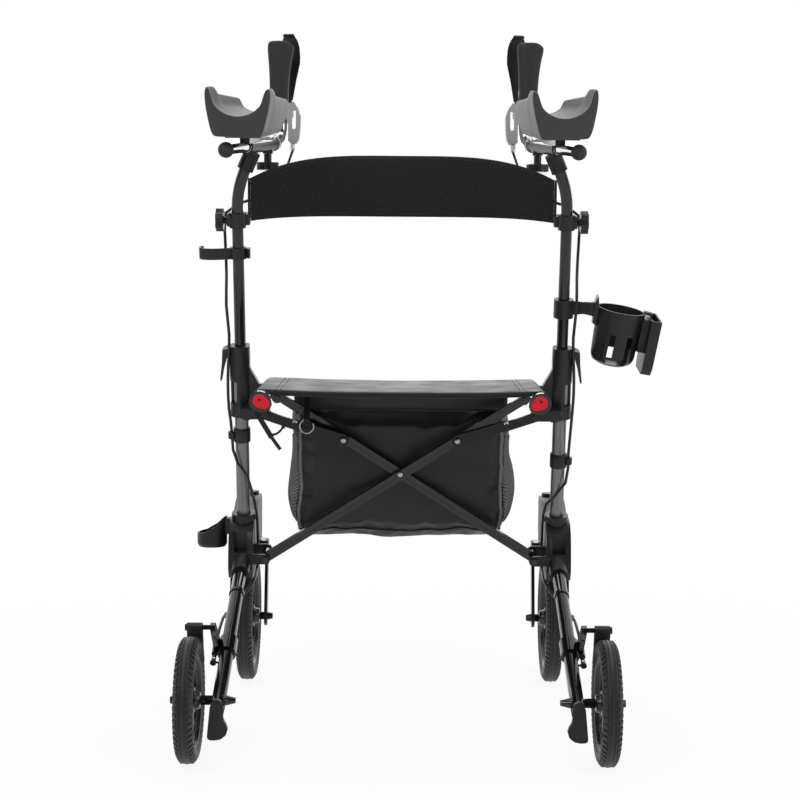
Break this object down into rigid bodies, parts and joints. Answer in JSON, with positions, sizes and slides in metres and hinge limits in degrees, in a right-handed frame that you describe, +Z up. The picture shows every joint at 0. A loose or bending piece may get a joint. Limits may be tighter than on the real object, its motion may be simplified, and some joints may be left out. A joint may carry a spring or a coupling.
{
  "type": "four-wheel rollator",
  "caption": "Upright folding rollator with forearm troughs, hand brakes, sling seat, cross-brace fold, bag, backrest strap, cup holder and walking-stick holder.",
  "frame": {"origin": "on the floor, under the middle of the whole object's box", "axes": "+X to the user's right, +Y forward in the walking direction, +Z up"},
  "size_m": [0.781, 0.7322, 1.1466],
  "materials": {
    "black_plastic": "satin moulded",
    "dark_metal": "satin black paint",
    "gloss_black_metal": "gloss black paint",
    "grey_anodised": "dark grey anodised, grooved",
    "chrome": "polished",
    "tyre_rubber": "matte with moulded blocks",
    "pad_foam": "moulded soft foam skin",
    "grip_rubber": "matte grip",
    "housing_grey": "mid grey moulded",
    "mesh_fabric": "black woven mesh",
    "seat_vinyl": "smooth dark vinyl",
    "nylon": "woven strap and moulded hook",
    "reflector_red": "red lens",
    "cable_black": "black cable sheath"
  },
  "bodies": {
    "left_frame": {"lower_tube_left": "grey_anodised", "lower_casting_left": "black_plastic", "rear_leg_left": "grey_anodised", "foot_pedal_left": "black_plastic", "hub_casting_left": "black_plastic", "cane_cup": "black_plastic"},
    "right_frame": {"lower_tube_right": "grey_anodised", "lower_casting_right": "black_plastic", "rear_leg_right": "grey_anodised", "foot_pedal_right": "black_plastic", "hub_casting_right": "black_plastic"},
    "post_left": {"handle_post_left": "gloss_black_metal", "arm_bracket_left": "dark_metal", "arm_pad_left": "pad_foam", "backrest_bracket_left": "black_plastic", "brake_cable_left": "cable_black", "cane_clip": "black_plastic", "backrest_strap": "mesh_fabric"},
    "post_right": {"handle_post_right": "gloss_black_metal", "arm_bracket_right": "dark_metal", "arm_pad_right": "pad_foam", "backrest_bracket_right": "black_plastic", "brake_cable_right": "cable_black", "cup_clamp": "black_plastic"},
    "cross_bar_a": {"cross_bar_a": "dark_metal"},
    "cross_bar_b": {"cross_bar_b": "dark_metal"},
    "seat_rail_left": {"seat_rail_left": "gloss_black_metal", "reflector_left": "reflector_red"},
    "seat_rail_right": {"seat_rail_right": "gloss_black_metal", "reflector_right": "reflector_red", "seat_sling": "seat_vinyl", "bag": "mesh_fabric"},
    "fold_hook": {"fold_hook": "nylon"},
    "cup_holder": {"cup_holder": "black_plastic"},
    "arm_bar_left": {"handle_bar_left": "chrome", "hand_grip_left": "grip_rubber", "lever_housing_left": "housing_grey"},
    "rear_wheel_left": {"rear_wheel_left": "tyre_rubber"},
    "front_fork_left": {"front_fork_left": "dark_metal"},
    "front_wheel_left": {"front_wheel_left": "tyre_rubber"},
    "brake_shoe_left": {"brake_shoe_left": "black_plastic"},
    "height_lever_left": {"height_lever_left": "black_plastic"},
    "backrest_knob_left": {"backrest_knob_left": "black_plastic"},
    "bar_knob_left": {"bar_knob_left": "black_plastic"},
    "brake_lever_left": {"brake_lever_left": "black_plastic"},
    "lock_arm_left": {"lock_arm_left": "dark_metal"},
    "lock_link_left": {"lock_link_left": "dark_metal"},
    "arm_bar_right": {"handle_bar_right": "chrome", "hand_grip_right": "grip_rubber", "lever_housing_right": "housing_grey"},
    "rear_wheel_right": {"rear_wheel_right": "tyre_rubber"},
    "front_fork_right": {"front_fork_right": "dark_metal"},
    "front_wheel_right": {"front_wheel_right": "tyre_rubber"},
    "brake_shoe_right": {"brake_shoe_right": "black_plastic"},
    "height_lever_right": {"height_lever_right": "black_plastic"},
    "backrest_knob_right": {"backrest_knob_right": "black_plastic"},
    "bar_knob_right": {"bar_knob_right": "black_plastic"},
    "brake_lever_right": {"brake_lever_right": "black_plastic"},
    "lock_arm_right": {"lock_arm_right": "dark_metal"},
    "lock_link_right": {"lock_link_right": "dark_metal"}
  },
  "joints": [
    {"name": "fold", "type": "hinge", "parent": "left_frame", "child": "cross_bar_a", "pos_m": [-0.27021, 0.10978, 0.24494], "axis": [0, -0.9774, -0.2113], "range_deg": [0, 40], "deforming": ["seat_sling", "bag", "backrest_strap"]},
    {"name": "brace_centre", "type": "hinge", "parent": "cross_bar_a", "child": "cross_bar_b", "pos_m": [-0.04021, 0.07761, 0.39374], "axis": [0, -0.9774, -0.2113], "range_deg": [-80, 0]},
    {"name": "right_frame_fold", "type": "hinge", "parent": "cross_bar_b", "child": "right_frame", "pos_m": [0.18979, 0.10978, 0.24494], "axis": [0, -0.9774, -0.2113], "range_deg": [0, 40]},
    {"name": "seat_rail_left_fold", "type": "hinge", "parent": "cross_bar_b", "child": "seat_rail_left", "pos_m": [-0.24611, 0.04881, 0.52694], "axis": [0, -0.9774, -0.2113], "range_deg": [0, 40]},
    {"name": "seat_rail_right_fold", "type": "hinge", "parent": "cross_bar_a", "child": "seat_rail_right", "pos_m": [0.16569, 0.04881, 0.52694], "axis": [0, -0.9774, -0.2113], "range_deg": [-40, 0]},
    {"name": "lock_arm_right", "type": "hinge", "parent": "cross_bar_a", "child": "lock_arm_right", "pos_m": [0.05619, 0.06413, 0.4561], "axis": [0, -0.9774, -0.2113], "range_deg": [-150, 0]},
    {"name": "lock_link_right", "type": "hinge", "parent": "right_frame", "child": "lock_link_right", "pos_m": [0.18449, 0.05473, 0.49955], "axis": [0, -0.9774, -0.2113], "range_deg": [-55, 0]},
    {"name": "lock_arm_left", "type": "hinge", "parent": "cross_bar_b", "child": "lock_arm_left", "pos_m": [-0.13661, 0.06413, 0.4561], "axis": [0, -0.9774, -0.2113], "range_deg": [0, 150]},
    {"name": "lock_link_left", "type": "hinge", "parent": "left_frame", "child": "lock_link_left", "pos_m": [-0.26491, 0.05473, 0.49955], "axis": [0, -0.9774, -0.2113], "range_deg": [0, 55]},
    {"name": "post_height_left", "type": "slide", "parent": "left_frame", "child": "post_left", "axis": [0, -0.2113, 0.9774], "range_m": [-0.045, 0.1], "deforming": ["brake_cable_left"]},
    {"name": "post_height_right", "type": "slide", "parent": "right_frame", "child": "post_right", "axis": [0, -0.2113, 0.9774], "range_m": [-0.045, 0.1], "deforming": ["brake_cable_right"]},
    {"name": "rear_wheel_left_spin", "type": "hinge", "parent": "left_frame", "child": "rear_wheel_left", "pos_m": [-0.35521, -0.27037, 0.095], "axis": [1, 0, 0], "continuous": true},
    {"name": "caster_left_swivel", "type": "hinge", "parent": "left_frame", "child": "front_fork_left", "pos_m": [-0.31021, 0.28663, 0.25], "axis": [0, 0, 1], "continuous": true},
    {"name": "front_wheel_left_spin", "type": "hinge", "parent": "front_fork_left", "child": "front_wheel_left", "pos_m": [-0.31171, 0.25163, 0.1136], "axis": [1, 0, 0], "continuous": true},
    {"name": "brake_shoe_left_swing", "type": "hinge", "parent": "left_frame", "child": "brake_shoe_left", "pos_m": [-0.35521, -0.19537, 0.19], "axis": [1, 0, 0], "range_deg": [-1.92, 0]},
    {"name": "height_lever_left_flip", "type": "hinge", "parent": "left_frame", "child": "height_lever_left", "pos_m": [-0.33471, 0.07635, 0.60306], "axis": [0, 0.9774, 0.2113], "range_deg": [0, 45]},
    {"name": "backrest_knob_left_turn", "type": "hinge", "parent": "post_left", "child": "backrest_knob_left", "pos_m": [-0.32771, 0.02943, 0.82005], "axis": [1, 0, 0], "continuous": true},
    {"name": "arm_bar_left_slide", "type": "slide", "parent": "post_left", "child": "arm_bar_left", "axis": [0.2352, 0.9667, 0.1007], "range_m": [0, 0.035]},
    {"name": "bar_knob_left_turn", "type": "hinge", "parent": "post_left", "child": "bar_knob_left", "pos_m": [-0.26602, 0.09534, 0.93145], "axis": [0, 0, 1], "continuous": true},
    {"name": "brake_lever_left_squeeze", "type": "hinge", "parent": "arm_bar_left", "child": "brake_lever_left", "pos_m": [-0.23821, 0.19763, 1.005], "axis": [1, 0, 0], "range_deg": [0, 13], "stiffness_Nm_per_rad": 0.8, "springref_deg": -11.46},
    {"name": "rear_wheel_right_spin", "type": "hinge", "parent": "right_frame", "child": "rear_wheel_right", "pos_m": [0.27479, -0.27037, 0.095], "axis": [1, 0, 0], "continuous": true},
    {"name": "caster_right_swivel", "type": "hinge", "parent": "right_frame", "child": "front_fork_right", "pos_m": [0.22979, 0.28663, 0.25], "axis": [0, 0, 1], "continuous": true},
    {"name": "front_wheel_right_spin", "type": "hinge", "parent": "front_fork_right", "child": "front_wheel_right", "pos_m": [0.23129, 0.25163, 0.1136], "axis": [1, 0, 0], "continuous": true},
    {"name": "brake_shoe_right_swing", "type": "hinge", "parent": "right_frame", "child": "brake_shoe_right", "pos_m": [0.27479, -0.19537, 0.19], "axis": [1, 0, 0], "range_deg": [-1.92, 0]},
    {"name": "height_lever_right_flip", "type": "hinge", "parent": "right_frame", "child": "height_lever_right", "pos_m": [0.25429, 0.07635, 0.60306], "axis": [0, -0.9774, -0.2113], "range_deg": [0, 45]},
    {"name": "backrest_knob_right_turn", "type": "hinge", "parent": "post_right", "child": "backrest_knob_right", "pos_m": [0.24729, 0.02943, 0.82005], "axis": [1, 0, 0], "continuous": true},
    {"name": "arm_bar_right_slide", "type": "slide", "parent": "post_right", "child": "arm_bar_right", "axis": [-0.2352, 0.9667, 0.1007], "range_m": [0, 0.035]},
    {"name": "bar_knob_right_turn", "type": "hinge", "parent": "post_right", "child": "bar_knob_right", "pos_m": [0.18559, 0.09534, 0.93145], "axis": [0, 0, 1], "continuous": true},
    {"name": "brake_lever_right_squeeze", "type": "hinge", "parent": "arm_bar_right", "child": "brake_lever_right", "pos_m": [0.15779, 0.19763, 1.005], "axis": [1, 0, 0], "range_deg": [0, 13], "stiffness_Nm_per_rad": 0.8, "springref_deg": -11.46},
    {"name": "cup_holder_tilt", "type": "hinge", "parent": "post_right", "child": "cup_holder", "pos_m": [0.26079, 0.05997, 0.67902], "axis": [0, 1, 0], "range_deg": [-20, 4]},
    {"name": "fold_hook_swing", "type": "hinge", "parent": "seat_rail_left", "child": "fold_hook", "pos_m": [-0.25471, -0.18557, 0.545], "axis": [0, 1, 0], "range_deg": [-30, 60]}
  ],
  "couplings": [
    {"joint": "brace_centre", "follows": "fold", "ratio": -2},
    {"joint": "right_frame_fold", "follows": "fold", "ratio": 1},
    {"joint": "seat_rail_left_fold", "follows": "fold", "ratio": 1},
    {"joint": "seat_rail_right_fold", "follows": "fold", "ratio": -1},
    {"joint": "lock_arm_right", "follows": "fold", "ratio": -3.7475},
    {"joint": "lock_link_right", "follows": "fold", "ratio": -1.3675},
    {"joint": "lock_arm_left", "follows": "fold", "ratio": 3.7475},
    {"joint": "lock_link_left", "follows": "fold", "ratio": 1.3675},
    {"joint": "post_height_right", "follows": "post_height_left", "ratio": 1},
    {"joint": "brake_shoe_left_swing", "follows": "brake_lever_left_squeeze", "ratio": -0.147},
    {"joint": "brake_shoe_right_swing", "follows": "brake_lever_right_squeeze", "ratio": -0.147}
  ]
}
